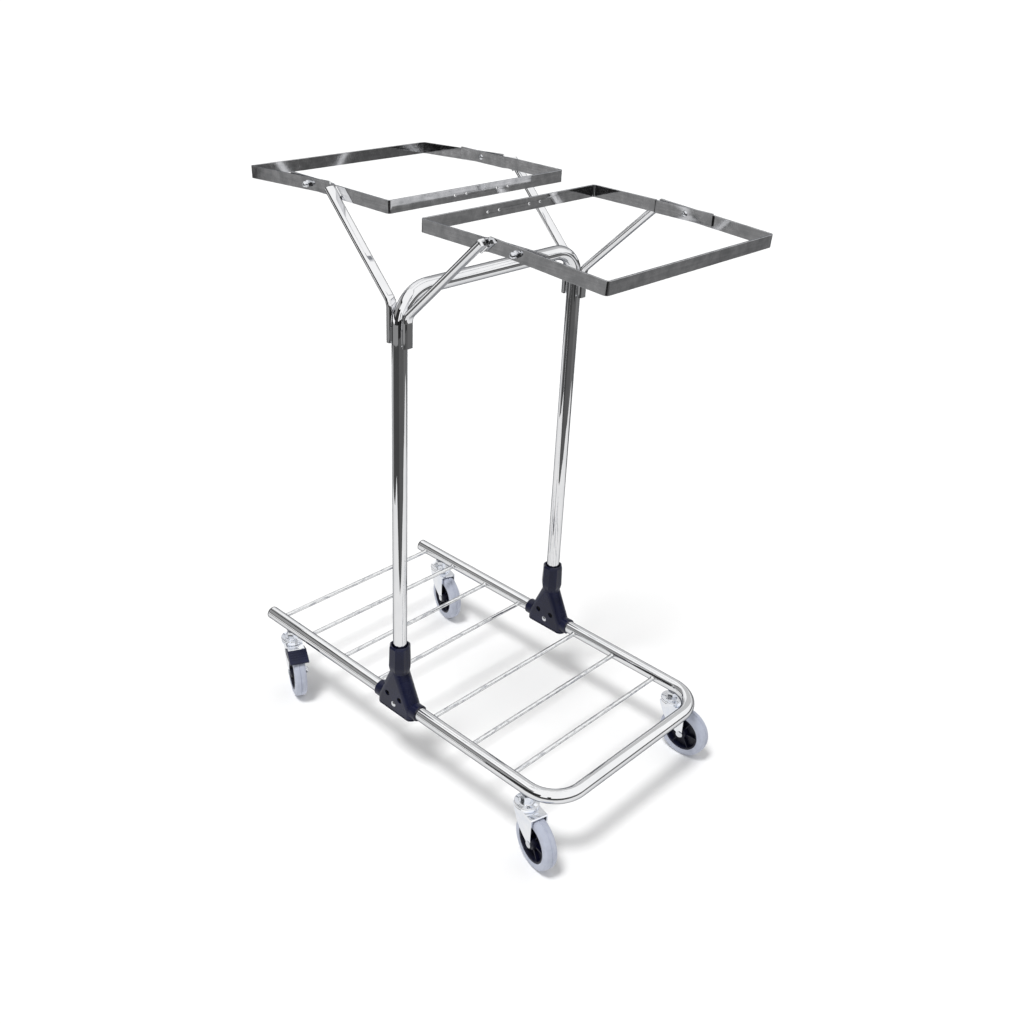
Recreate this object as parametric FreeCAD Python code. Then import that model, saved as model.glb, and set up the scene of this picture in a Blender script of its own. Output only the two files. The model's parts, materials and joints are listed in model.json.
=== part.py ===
import FreeCAD, Part
import math
import os

# Double bag holder trolley: a U of tube on four castors, an upright loop of tube, and two hinged bag hoops.
# Frame: X along the trolley towards the closed end of the base, Y across, Z up, floor at Z = 0.
# The origin is on the floor, midway between the two posts. All sizes are in millimetres.

V = FreeCAD.Vector
ALONG = V(1, 0, 0)
ACROSS = V(0, 1, 0)
UP = V(0, 0, 1)

# How far a cutter runs past a face, and a trimming block past the part
over = 1.0
beyond = 60.0

# Main tube
tube_r = 12.5
tube_wall = 1.5
rail_y = 206.0
base_z = 138.5
base_back = -392.0
base_front = 384.5
base_corner_r = 62.0

# End caps
cap_head = 3.0
cap_edge = 1.2
cap_dome = 0.4
cap_plug_length = 16.0
cap_plug_fit = 0.1
cap_lead = 1.2
cap_ribs = 8
cap_rib_depth = 1.0

# Cross rungs
rung_r = 4.0
rung_drop = 1.5
rung_first = 77.0
rung_pitch = 101.0
rung_count = 3
rung_end_x = -368.0
rung_weld_r = 6.0
rung_weld_length = 3.5
rung_weld_root = 2.0

# Upright loop
mast_top_z = 913.5
mast_corner_r = 57.0
mast_foot_gap = 0.2

# Bracket halves that join post and rail
bracket_wall = 4.0
bracket_fit = 0.1
seam_gap = 0.4
foot_half_length = 47.0
foot_corner_r = 11.5
foot_under = 3.0
foot_skirt_z = 124.5
foot_flare_z = 138.0
sleeve_half_length = 54.0
sleeve_r = 15.6
lip_inset = 1.6
lip_height = 3.0
lip_edge = 1.0
neck_z = 206.0
neck_r = 17.6
neck_flat = 0.5
collar_foot_r = 18.0
collar_bottom_z = 212.0
collar_r = 19.6
collar_shoulder_z = 222.0
collar_waist_r = 18.4
collar_chamfer = 3.0
collar_top_z = 264.0
collar_rim_r = 16.6
collar_sides = 8
mouth_depth = 5.0
mouth_r = 15.0
mouth_notch_r = 1.6
mouth_notch_at = 13.5
mouth_notch_depth = 10.0

# Screws of the brackets
screw_x = 16.5
screw_z = 155.5
screw_r = 3.0
screw_head_r = 5.0
screw_head_height = 5.0
screw_recess_r = 5.7
screw_recess_depth = 6.5
nut_flats = 10.0
nut_height = 5.0
hex_fit = 0.25
socket_flats = 5.0
socket_depth = 2.6
rivet_r = 3.0
rivet_head_r = 5.5
rivet_head_height = 2.4
thread_fit = 0.03
hole_fit = 0.1

# Oval arm tubes that carry the hoops; the two ends of the trolley differ a little
arm_wide = 18.0
arm_thick = 11.0
arm_wall = 1.5
arm_foot_z = 829.0
arm_post_gap = 0.3
arm_bend_r = 24.0
arm_foot_length_front = 50.0
arm_foot_length_back = 64.0
arm_slope_front = 43.7
arm_slope_back = 45.0
arm_head_plug = 3.0
weld_r = 2.6
weld_sink = 0.6
weld_skin = 0.02
weld_spread = 4.6
weld_inset = 4.0
weld_length = 23.0
hoop_weld_r = 2.0
hoop_weld_length = 17.0
hoop_weld_inset = 3.0

# Hoops of flat bar
bar_thick = 3.0
bar_height = 20.0
hoop_top_front = 1030.5
hoop_top_back = 1042.0
hoop_mast_x = 34.7
hoop_out_x = 388.3
hoop_half_width = 197.0
hoop_corner_r = 6.5
joggle_x = 166.0
joggle_length = 6.0
joggle_mitre = 1.0
joggle_lap = 1.5
tab_end_x = 280.0
tab_gap = 0.4
hole_pair_inner = 34.5
hole_pair_outer = 59.5
small_hole_r = 2.3

# Hinged half of each hoop
pivot_x = 228.0
hinge_play = 0.3
tail_cut = 3.0
tail_cut_height = 9.0
droop_deg = 3.3

# Hoop pivots
pivot_r = 3.0
pivot_fit = 0.08
pivot_head_r = 5.0
pivot_head_height = 2.6
pivot_nut_flats = 10.0
pivot_nut_height = 5.0
pivot_thread_past = 1.0
pivot_dome_r = 4.4
pivot_neck_height = 2.6

# Castors
castor_inset = 62.0
yaw_back_near = -25.4
yaw_back_far = -16.6
yaw_front_near = -14.3
yaw_front_far = 2.3
wheel_r = 50.0
wheel_half = 12.0
castor_trail = 35.5
tyre_rim_r = 36.0
tyre_wall_r = 46.4
tyre_wall_half = 11.1
tyre_shoulder_r = 48.3
tyre_shoulder_half = 9.8
tyre_tread_half = 7.8
tyre_tread_r = 49.2
tyre_crown_r = 49.7
tyre_line_half = 0.7
tyre_line_slope = 0.4
hub_bore_fit = 0.05
hub_rim_wall = 3.2
hub_web_half = 3.0
hub_boss_r = 10.5
hub_boss_edge = 1.0
hub_dish = 2.0
hub_rim_slope = 2.5
hub_side_play = 0.3
hub_ribs = 6
hub_rib_half = 1.0
hub_rib_reach = 9.0
hub_rib_root = 0.5
hub_rim_lip = 0.8
leg_gap = 2.0
leg_thick = 2.5
axle_r = 4.0
axle_head_r = 6.5
axle_head_edge = 0.6
axle_head_height = 2.2
axle_thread_past = 1.0
axle_nut_flats = 13.0
axle_nut_height = 5.0
crown_top = 105.0
crown_thick = 2.5
crown_front = 38.5
crown_back = -17.0
crown_slope = 1.5
leg_front = 40.0
leg_tip_r = 7.5
leg_waist_s = 0.0
leg_waist_h = 70.0
leg_back_lift = 1.0
leg_back_bow = 2.0
leg_low_bow = 1.5
drum_r = 21.8
drum_top = 108.0
drum_edge = 1.2
skirt_height = 16.0
skirt_inset = 0.5
dimple_s = 30.0
dimple_length = 9.0
dimple_width = 3.2
dimple_depth = 0.8
swivel_gap = 0.4
race_r = 22.3
race_edge_h = 2.8
race_dish_h = 4.2
race_top = 114.3
race_top_r = 14.7
race_step = 0.7
stem_r = 6.0
stem_fit = 0.08
stem_head_r = 10.0
stem_head_height = 3.0
stem_top = 141.0
stem_edge = 1.0
stem_nut_flats = 19.0
nut_chamfer = 1.2
insert_r = 9.0
insert_fit = 0.05
insert_top = 140.0

# Brake pedal on one castor
pedal_half = 19.0
pedal_cheek = 1.8
pedal_pivot_s = 24.0
pedal_pivot_h = 94.0
pedal_eye_r = 6.0
pedal_back_s = 44.0
pedal_back_h = 107.5
pedal_front_s = 69.5
pedal_front_h = 96.2
pedal_plate = 2.6
pedal_lip_r = 3.2
pedal_cheek_depth = 7.0
pedal_toe_back = 2.0
pedal_ridges = 4
pedal_ridge_height = 0.8
pedal_ridge_half = 1.2
pedal_ridge_top_half = 0.5
pedal_ridge_root = 0.3
pedal_ridge_inset = 3.0
pedal_rivet_r = 2.5
pedal_rivet_head_r = 4.2
pedal_rivet_head = 1.5
pedal_play = 0.3


def rounded_path(points, radius):
    """Wire through the points, with each inner point rounded by one arc."""
    edges = []
    start = points[0]
    for before, corner, after in zip(points, points[1:], points[2:]):
        back = (before - corner).normalize()
        forth = (after - corner).normalize()
        half = back.getAngle(forth) / 2
        inward = (back + forth).normalize()
        enter = corner + back * (radius / math.tan(half))
        leave = corner + forth * (radius / math.tan(half))
        crest = corner + inward * (radius / math.sin(half) - radius)
        edges.append(Part.LineSegment(start, enter).toShape())
        edges.append(Part.Arc(enter, crest, leave).toShape())
        start = leave
    edges.append(Part.LineSegment(start, points[-1]).toShape())
    return Part.Wire(edges)


def round_bar(path, radius):
    """Solid of circular section along a path."""
    first = path.Edges[0]
    start = first.valueAt(first.FirstParameter)
    direction = first.tangentAt(first.FirstParameter)
    circle = Part.Wire(Part.makeCircle(radius, start, direction))
    return path.makePipe(Part.Face(circle))


def round_tube(path, radius, wall):
    return round_bar(path, radius).cut(round_bar(path, radius - wall))


def cylinder(radius, start, end):
    axis = end - start
    return Part.makeCylinder(radius, axis.Length, start, axis)


def turned(profile, centre, axis):
    """Solid of revolution; profile is a list of (radius, height) along the axis."""
    side = ALONG if abs(axis.x) < 0.9 else ACROSS
    side = side - axis * side.dot(axis)
    side.normalize()
    points = [centre + side * r + axis * h for r, h in profile]
    points.append(points[0])
    return Part.Face(Part.makePolygon(points)).revolve(centre, axis, 360)


def plate(outline, thick):
    """Outline given as corner points in one plane, made thick along the vector."""
    return Part.Face(Part.makePolygon(outline + [outline[0]])).extrude(thick)


def block(low, high):
    """Box between two opposite corners."""
    size = high - low
    return Part.makeBox(size.x, size.y, size.z, low)


def dome(radius, height, foot, axis):
    """Cap of a ball that stands on a flat round foot."""
    ball_r = (radius ** 2 + height ** 2) / (2 * height)
    ball = Part.makeSphere(ball_r, foot + axis * (height - ball_r))
    return ball.common(Part.makeCylinder(radius + over, height + over, foot, axis))


def hex_prism(flats, start, end):
    """Hexagonal bar between two points on a level or an upright axis."""
    axis = end - start
    side = ALONG if abs(axis.z) > 0.5 * axis.Length else UP
    other = V(axis.x, axis.y, axis.z).normalize().cross(side)
    radius = flats / math.sqrt(3)
    ring = []
    for k in range(6):
        turn = math.radians(60 * k)
        ring.append(start + side * (radius * math.cos(turn)) + other * (radius * math.sin(turn)))
    return plate(ring, axis)


# Base and caps


def base_path():
    return rounded_path([
        V(base_back, -rail_y, base_z),
        V(base_front, -rail_y, base_z),
        V(base_front, rail_y, base_z),
        V(base_back, rail_y, base_z),
    ], base_corner_r)


def castor_places():
    """Name, x, y and yaw of each castor."""
    back = base_back + castor_inset
    front = base_front - castor_inset
    return [
        ("back_near", back, -rail_y, yaw_back_near),
        ("back_far", back, rail_y, yaw_back_far),
        ("front_near", front, -rail_y, yaw_front_near),
        ("front_far", front, rail_y, yaw_front_far),
    ]


def base_tube():
    tube = round_tube(base_path(), tube_r, tube_wall)
    for name, x, y, yaw in castor_places():
        tube = tube.cut(cylinder(stem_r + hole_fit, V(x, y, base_z - tube_r - over), V(x, y, base_z)))
    reach = tube_r + over
    for side in (-1, 1):
        y = side * rail_y
        tube = tube.cut(cylinder(rivet_r + hole_fit, V(0, y - reach, base_z), V(0, y + reach, base_z)))
    return tube


def end_cap(side):
    """Push-in plug with a grooved shank and a slightly domed head."""
    centre = V(base_back, side * rail_y, base_z)
    plug_r = tube_r - tube_wall - cap_plug_fit
    cap = turned([
        (0, cap_plug_length), (plug_r - cap_lead, cap_plug_length), (plug_r, cap_plug_length - cap_lead),
        (plug_r, 0), (tube_r, 0), (tube_r, -cap_head + cap_edge), (tube_r - cap_edge, -cap_head),
        (0, -cap_head - cap_dome),
    ], centre, ALONG)
    for k in range(cap_ribs):
        turn = 2 * math.pi * (k + 0.5) / cap_ribs
        start = centre + V(over, plug_r * math.cos(turn), plug_r * math.sin(turn))
        cap = cap.cut(cylinder(cap_rib_depth, start, start + ALONG * cap_plug_length))
    return cap


def rung_places():
    places = [rung_end_x]
    for k in range(rung_count):
        places.append(rung_first + k * rung_pitch)
        places.append(-rung_first - k * rung_pitch)
    return sorted(places)


def rung(x):
    """Cross rod with a weld fillet at each end, coped to the side tubes."""
    z = base_z - rung_drop
    solid = cylinder(rung_r, V(x, -rail_y, z), V(x, rail_y, z))
    inner_face = rail_y - math.sqrt(tube_r ** 2 - rung_drop ** 2)
    for side in (-1, 1):
        foot = V(x, side * (inner_face + rung_weld_root), z)
        fillet = Part.makeCone(rung_weld_r, rung_r, rung_weld_length + rung_weld_root, foot, V(0, -side, 0))
        solid = solid.fuse(fillet)
    reach = rung_weld_r + over
    for y in (-rail_y, rail_y):
        solid = solid.cut(cylinder(tube_r, V(x - reach, y, base_z), V(x + reach, y, base_z)))
    return solid.removeSplitter()


def mast_path():
    foot = base_z + tube_r + mast_foot_gap
    return rounded_path([
        V(0, -rail_y, foot), V(0, -rail_y, mast_top_z),
        V(0, rail_y, mast_top_z), V(0, rail_y, foot),
    ], mast_corner_r)


def mast():
    return round_tube(mast_path(), tube_r, tube_wall)


# Brackets


def soft_rectangle(half_x, half_y, radius, z, y):
    """Level outline with rounded corners, centred on the post."""
    return rounded_path([
        V(0, y - half_y, z), V(half_x, y - half_y, z), V(half_x, y + half_y, z),
        V(-half_x, y + half_y, z), V(-half_x, y - half_y, z), V(0, y - half_y, z),
    ], radius)


def stacked(wires):
    """Solid through level outlines, ruled between each pair."""
    pieces = [Part.makeLoft([low, high], True, True) for low, high in zip(wires, wires[1:])]
    return pieces[0].fuse(pieces[1:]) if len(pieces) > 1 else pieces[0]


def foot_outline(inset, z, y):
    deep = tube_r + bracket_wall
    return soft_rectangle(foot_half_length - inset, deep - inset, foot_corner_r - inset, z, y)


def collar_outline(radius, z, y):
    """Level outline of the collar, whose flats lie at the given radius."""
    reach = radius / math.cos(math.pi / collar_sides)
    turns = [math.pi * (2 * k + 1) / collar_sides for k in range(collar_sides)]
    points = [V(reach * math.cos(t), y + reach * math.sin(t), z) for t in turns]
    points.append(points[0])
    return Part.makePolygon(points)


def bracket_body(y):
    """Foot round the rail, flanks drawn in to the neck, and a faceted collar round the post."""
    bottom = base_z - tube_r - foot_under
    lip = bottom - lip_height
    neck = soft_rectangle(neck_r, neck_r, neck_r - neck_flat, neck_z, y)
    flanks = stacked([foot_outline(0, foot_skirt_z, y), foot_outline(0, foot_flare_z, y), neck])
    groove = stacked([foot_outline(lip_inset, bottom, y), foot_outline(lip_inset, foot_skirt_z, y)])
    tray = stacked([
        foot_outline(lip_inset, lip, y), foot_outline(0, lip + lip_edge, y), foot_outline(0, bottom, y),
    ])
    sleeve = cylinder(sleeve_r, V(-sleeve_half_length, y, base_z), V(sleeve_half_length, y, base_z))
    ring = cylinder(neck_r, V(0, y, neck_z), V(0, y, collar_bottom_z))
    collar = stacked([
        collar_outline(collar_foot_r, collar_bottom_z, y),
        collar_outline(collar_r, collar_shoulder_z, y),
        collar_outline(collar_waist_r, collar_top_z - collar_chamfer, y),
        collar_outline(collar_rim_r, collar_top_z, y),
    ])
    return flanks.fuse([groove, tray, sleeve, ring, collar])


def bracket_holes(y):
    """Everything that is taken out of both halves of one bracket."""
    long_reach = sleeve_half_length + over
    post_r = tube_r + bracket_fit
    mouth_top_r = mouth_r + (mouth_r - post_r) / mouth_depth * over
    mouth_foot = V(0, y, collar_top_z - mouth_depth)
    cuts = [
        cylinder(post_r, V(-long_reach, y, base_z), V(long_reach, y, base_z)),
        cylinder(post_r, V(0, y, base_z), V(0, y, collar_top_z + over)),
        Part.makeCone(post_r, mouth_top_r, mouth_depth + over, mouth_foot, UP),
    ]
    for k in range(collar_sides):
        turn = math.pi * (2 * k + 1) / collar_sides
        top = V(mouth_notch_at * math.cos(turn), y + mouth_notch_at * math.sin(turn), collar_top_z + over)
        cuts.append(cylinder(mouth_notch_r, top - UP * (mouth_notch_depth + over), top))
    deep = tube_r + bracket_wall
    through = ACROSS * (deep + over)
    for x in (-screw_x, screw_x):
        middle = V(x, y, screw_z)
        cuts.append(cylinder(screw_r + hole_fit, middle - through, middle + through))
        for side in (-1, 1):
            floor = middle + ACROSS * (side * (deep - screw_recess_depth))
            cuts.append(cylinder(screw_recess_r, floor, middle + through * side))
    rail_middle = V(0, y, base_z)
    cuts.append(cylinder(rivet_r + hole_fit, rail_middle - through, rail_middle + through))
    for out in (ACROSS, -ACROSS):
        seat = rail_middle + out * deep
        cuts.append(cylinder(rivet_head_r + hole_fit, seat, seat + out * rivet_head_height))
    return cuts


def bracket_half(rail_side, face):
    """One moulded half: rail_side picks the rail, face the half's own side of the seam."""
    y = rail_side * rail_y
    body = bracket_body(y)
    for cut in bracket_holes(y):
        body = body.cut(cut)
    low = y + seam_gap / 2 if face > 0 else y - beyond
    slab = block(V(-beyond, low, 0), V(beyond, low + beyond - seam_gap / 2, collar_top_z + over))
    return body.common(slab).removeSplitter()


def bracket_screws():
    """Cap screws of both brackets; each head lies in the outer recess."""
    screws = []
    floor = tube_r + bracket_wall - screw_recess_depth
    for side in (-1, 1):
        out = ACROSS * side
        for x in (-screw_x, screw_x):
            seat = V(x, side * (rail_y + floor), screw_z)
            shank = cylinder(screw_r, seat, seat - out * (2 * floor + nut_height))
            head = cylinder(screw_head_r, seat, seat + out * screw_head_height)
            key = hex_prism(socket_flats, seat + out * (screw_head_height - socket_depth),
                            seat + out * (screw_head_height + over))
            screws.append(shank.fuse(head).cut(key))
    return Part.makeCompound(screws)


def bracket_nuts():
    """Hexagon nuts in the inner recesses."""
    nuts = []
    floor = tube_r + bracket_wall - screw_recess_depth
    for side in (-1, 1):
        out = ACROSS * side
        for x in (-screw_x, screw_x):
            seat = V(x, side * (rail_y - floor), screw_z)
            nut = hex_prism(nut_flats - hex_fit, seat, seat - out * nut_height)
            bore = cylinder(screw_r + thread_fit, seat + out * over, seat - out * (nut_height + over))
            nuts.append(nut.cut(bore))
    return Part.makeCompound(nuts)


def rail_rivets():
    """Through pins with a domed head on each face of the bracket."""
    rivets = []
    reach = tube_r + bracket_wall
    for side in (-1, 1):
        centre = V(0, side * rail_y, base_z)
        pin = cylinder(rivet_r, centre - ACROSS * reach, centre + ACROSS * reach)
        for out in (ACROSS, -ACROSS):
            pin = pin.fuse(dome(rivet_head_r, rivet_head_height, centre + out * reach, out))
        rivets.append(pin)
    return Part.makeCompound(rivets)


# Arms


def oval_bar(path, wide, thick, start):
    """Bar of flat-oval section along a path in an upright plane; wide is across that plane."""
    flat = (wide - thick) / 2
    r = thick / 2
    a = start + V(-r, -flat, 0)
    b = start + V(-r, flat, 0)
    c = start + V(r, flat, 0)
    d = start + V(r, -flat, 0)
    ring = Part.Wire([
        Part.LineSegment(a, b).toShape(),
        Part.Arc(b, start + V(0, flat + r, 0), c).toShape(),
        Part.LineSegment(c, d).toShape(),
        Part.Arc(d, start + V(0, -flat - r, 0), a).toShape(),
    ])
    return path.makePipe(Part.Face(ring))


def by_end(end, front, back):
    """The value that belongs to one end of the trolley."""
    return front if end == "front" else back


def hoop_top(end):
    return by_end(end, hoop_top_front, hoop_top_back)


def hoop_level(end):
    return hoop_top(end) - bar_height / 2


def arm_line(end):
    """Foot, bend and square-cut tip of an arm's centre line on the +X side, and the way it rises."""
    slope = math.radians(by_end(end, arm_slope_front, arm_slope_back))
    rise = V(math.cos(slope), 0, math.sin(slope))
    foot = V(tube_r + arm_thick / 2 + arm_post_gap, 0, arm_foot_z)
    bend = foot + UP * by_end(end, arm_foot_length_front, arm_foot_length_back)
    tip_z = hoop_top(end) - arm_thick / 2 * rise.x
    tip = bend + rise * ((tip_z - bend.z) / rise.z)
    return foot, bend, tip, rise


def arm(side, end):
    """Oval tube from the post up and out to the outer face of the hoop, with its weld runs."""
    shift = ACROSS * (side * rail_y)
    foot, bend, tip, rise = arm_line(end)
    whole = rounded_path([foot + shift, bend + shift, tip + shift], arm_bend_r)
    hollow = rounded_path([foot + shift, bend + shift, tip + shift - rise * arm_head_plug], arm_bend_r)
    inner = oval_bar(hollow, arm_wide - 2 * arm_wall, arm_thick - 2 * arm_wall, foot + shift)
    tube = oval_bar(whole, arm_wide, arm_thick, foot + shift).cut(inner)
    for bead in post_welds(side * rail_y) + hoop_welds(side, tip, rise):
        tube = tube.fuse(bead.cut(inner))
    tube = tube.cut(round_bar(mast_path(), tube_r + weld_skin))
    inside_y = min(side * hoop_half_width, side * (hoop_half_width - beyond))
    inside = block(V(0, inside_y, tip.z - beyond), V(hoop_out_x, inside_y + beyond, tip.z + beyond))
    return tube.cut(inside).removeSplitter()


def post_welds(y):
    """Weld runs in the two grooves between the post and the foot of the arm."""
    beads = []
    for across in (-weld_spread, weld_spread):
        low = V(tube_r - weld_sink, y + across, arm_foot_z + weld_inset)
        beads.append(cylinder(weld_r, low, low + UP * weld_length))
    return beads


def hoop_welds(side, tip, rise):
    """Two weld runs along the arm's head, where it lies on the outer face of the hoop."""
    beads = []
    end = V(tip.x, side * (hoop_half_width + hoop_weld_r / 2), tip.z) - rise * hoop_weld_inset
    for edge in (-arm_thick / 2, arm_thick / 2):
        top = end + V(-rise.z, 0, rise.x) * edge
        beads.append(cylinder(hoop_weld_r, top - rise * hoop_weld_length, top))
    return beads


# Hoops


def rounded_box_ring(half_width, end):
    """Band of flat bar bent to a rectangle with rounded corners, for the hoop on the +X side."""
    low = hoop_top(end) - bar_height
    rings = []
    for inset in (0, bar_thick):
        x0 = hoop_mast_x + inset
        x1 = hoop_out_x - inset
        y1 = half_width - inset
        middle = (x0 + x1) / 2
        path = rounded_path([
            V(middle, -y1, low), V(x1, -y1, low), V(x1, y1, low),
            V(x0, y1, low), V(x0, -y1, low), V(middle, -y1, low),
        ], hoop_corner_r - inset)
        rings.append(Part.Face(path).extrude(UP * bar_height))
    return rings[0].cut(rings[1])


def tab_face():
    """Outer face of the tab, which lies inside the bar of the hinged half."""
    return hoop_half_width - hinge_play - bar_thick - tab_gap


def tail_end():
    """Where the tail must end, before it droops, for its lower corner to reach the step."""
    turn = math.radians(droop_deg)
    reach = pivot_x - joggle_x - joggle_length - bar_height / 2 * math.sin(turn)
    return pivot_x - reach / math.cos(turn)


def joggle_and_tab(side, end):
    """The end of the fixed half: a step inwards and a straight tab inside the hinged half."""
    face = hoop_half_width
    inset = tab_face()
    step_end = joggle_x + joggle_length
    points = [
        (joggle_x - joggle_lap, face), (joggle_x, face), (step_end, inset), (tab_end_x, inset),
        (tab_end_x, inset - bar_thick), (step_end - joggle_mitre, inset - bar_thick),
        (joggle_x - joggle_mitre, face - bar_thick), (joggle_x - joggle_lap, face - bar_thick),
    ]
    low = hoop_top(end) - bar_height
    return plate([V(x, side * y, low) for x, y in points], UP * bar_height)


def pivot_hole(radius, end):
    """Drill through both sides of a hoop at its hinge."""
    reach = hoop_half_width + over
    return cylinder(radius, V(pivot_x, -reach, hoop_level(end)), V(pivot_x, reach, hoop_level(end)))


def fixed_half(end):
    """Mast-side half of a hoop, with its joggled tabs and the four small holes."""
    top = hoop_top(end)
    keep = block(V(0, -hoop_half_width, top - bar_height), V(joggle_x - joggle_lap, hoop_half_width, top))
    half = rounded_box_ring(hoop_half_width, end).common(keep)
    half = half.fuse([joggle_and_tab(-1, end), joggle_and_tab(1, end)])
    half = half.cut(pivot_hole(pivot_r + hole_fit, end))
    for y in (-hole_pair_outer, -hole_pair_inner, hole_pair_inner, hole_pair_outer):
        start = V(hoop_mast_x - over, y, hoop_level(end))
        half = half.cut(cylinder(small_hole_r, start, start + ALONG * (bar_thick + 2 * over)))
    return half.removeSplitter()


def hinged_half(end):
    """Outer half of a hoop; the lower corner of each tail stops it, the upper corner is cut back."""
    half_width = hoop_half_width - hinge_play
    top = hoop_top(end)
    tail = tail_end()
    keep = block(V(tail, -half_width, top - bar_height), V(hoop_out_x, half_width, top))
    half = rounded_box_ring(half_width, end).common(keep)
    corner = plate([
        V(tail - over, -half_width - over, top + over),
        V(tail + tail_cut, -half_width - over, top + over),
        V(tail, -half_width - over, top - tail_cut_height),
        V(tail - over, -half_width - over, top - tail_cut_height),
    ], ACROSS * (2 * half_width + 2 * over))
    half = half.cut(corner).cut(pivot_hole(pivot_r + pivot_fit, end))
    half.rotate(V(pivot_x, 0, hoop_level(end)), ACROSS, droop_deg)
    return half.removeSplitter()


def mirrored(shape):
    return shape.mirror(V(0, 0, 0), ALONG)


def pivot_places():
    """Hinge centres at the middle of each hoop."""
    return [V(pivot_x, 0, hoop_level("front")), V(-pivot_x, 0, hoop_level("back"))]


def pivot_bolts():
    """Domed bolts from inside each tab out through the hinge."""
    bolts = []
    inner = tab_face() - bar_thick
    outer = hoop_half_width + pivot_nut_height + pivot_thread_past
    for centre in pivot_places():
        for out in (ACROSS, -ACROSS):
            head = centre + out * inner
            shank = cylinder(pivot_r, head, centre + out * outer)
            bolts.append(shank.fuse(dome(pivot_head_r, pivot_head_height, head, -out)))
    return Part.makeCompound(bolts)


def pivot_nuts():
    """Domed nuts on the outer face of each hinge."""
    nuts = []
    for centre in pivot_places():
        for out in (ACROSS, -ACROSS):
            seat = centre + out * hoop_half_width
            crown = seat + out * pivot_nut_height
            neck = crown + out * pivot_neck_height
            nut = hex_prism(pivot_nut_flats, seat, crown).fuse(cylinder(pivot_dome_r, crown, neck))
            nut = nut.fuse(dome(pivot_dome_r, pivot_dome_r, neck, out))
            bore_end = crown + out * (pivot_thread_past + thread_fit)
            nuts.append(nut.cut(cylinder(pivot_r + thread_fit, seat - out * over, bore_end)))
    return Part.makeCompound(nuts)


# Castors, built about the stem axis with the wheel trailing along +X, then turned and placed


def placed(shape, x, y, yaw):
    shape.rotate(V(0, 0, 0), UP, yaw)
    shape.translate(V(x, y, 0))
    return shape


def axle_centre():
    return V(castor_trail, 0, wheel_r)


def tyre():
    """Rubber ring with rounded shoulders and a fine moulding line round the tread."""
    half = [
        (tyre_rim_r, wheel_half), (tyre_wall_r, tyre_wall_half), (tyre_shoulder_r, tyre_shoulder_half),
        (tyre_tread_r, tyre_tread_half), (tyre_crown_r, tyre_line_half + tyre_line_slope),
        (wheel_r, tyre_line_half),
    ]
    other = [(r, -h) for r, h in reversed(half)]
    return turned(half + other, axle_centre(), ACROSS)


def hub():
    """Plastic wheel centre: rim, dished web, boss and radial ribs."""
    rim_in = tyre_rim_r - hub_rim_wall
    web = hub_web_half
    boss = wheel_half + leg_gap - hub_side_play
    profile = [
        (axle_r + hub_bore_fit, boss), (hub_boss_r - hub_boss_edge, boss), (hub_boss_r, boss - hub_boss_edge),
        (hub_boss_r + hub_dish, web), (rim_in - hub_rim_slope, web), (rim_in, wheel_half - hub_rim_lip),
        (tyre_rim_r, wheel_half - hub_rim_lip),
    ]
    other = [(r, -h) for r, h in reversed(profile)]
    solid = turned(profile + other, axle_centre(), ACROSS)
    ribs = []
    for k in range(hub_ribs):
        rib = block(V(hub_boss_r - hub_rib_root, -hub_rib_reach, -hub_rib_half),
                    V(rim_in + hub_rib_root, hub_rib_reach, hub_rib_half))
        rib.rotate(V(0, 0, 0), ACROSS, 360.0 * k / hub_ribs)
        rib.translate(axle_centre())
        ribs.append(rib)
    return solid.fuse(ribs).removeSplitter()


def leg_profile():
    """Side view of the fork: crown, upright front edge, rounded tip and drawn-in back edge."""
    centre = axle_centre()
    shoulder = V(leg_front, 0, crown_top - crown_slope)
    low_front = V(leg_front, 0, wheel_r)
    tip = V(centre.x, 0, wheel_r - leg_tip_r)
    low_back = V(centre.x - leg_tip_r, 0, wheel_r + leg_back_lift)
    waist = V(leg_waist_s, 0, leg_waist_h)
    crown_low = V(crown_back, 0, crown_top - crown_thick)
    back_bow = V((crown_back + leg_waist_s) / 2 - leg_back_bow, 0, (crown_top + leg_waist_h) / 2)
    low_bow = V((leg_waist_s + low_back.x) / 2, 0, (leg_waist_h + low_back.z) / 2 - leg_low_bow)
    return Part.Wire([
        Part.LineSegment(V(crown_back, 0, crown_top), V(crown_front, 0, crown_top)).toShape(),
        Part.LineSegment(V(crown_front, 0, crown_top), shoulder).toShape(),
        Part.LineSegment(shoulder, low_front).toShape(),
        Part.Arc(low_front, tip, low_back).toShape(),
        Part.Arc(low_back, low_bow, waist).toShape(),
        Part.Arc(waist, back_bow, crown_low).toShape(),
        Part.LineSegment(crown_low, V(crown_back, 0, crown_top)).toShape(),
    ])


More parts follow.
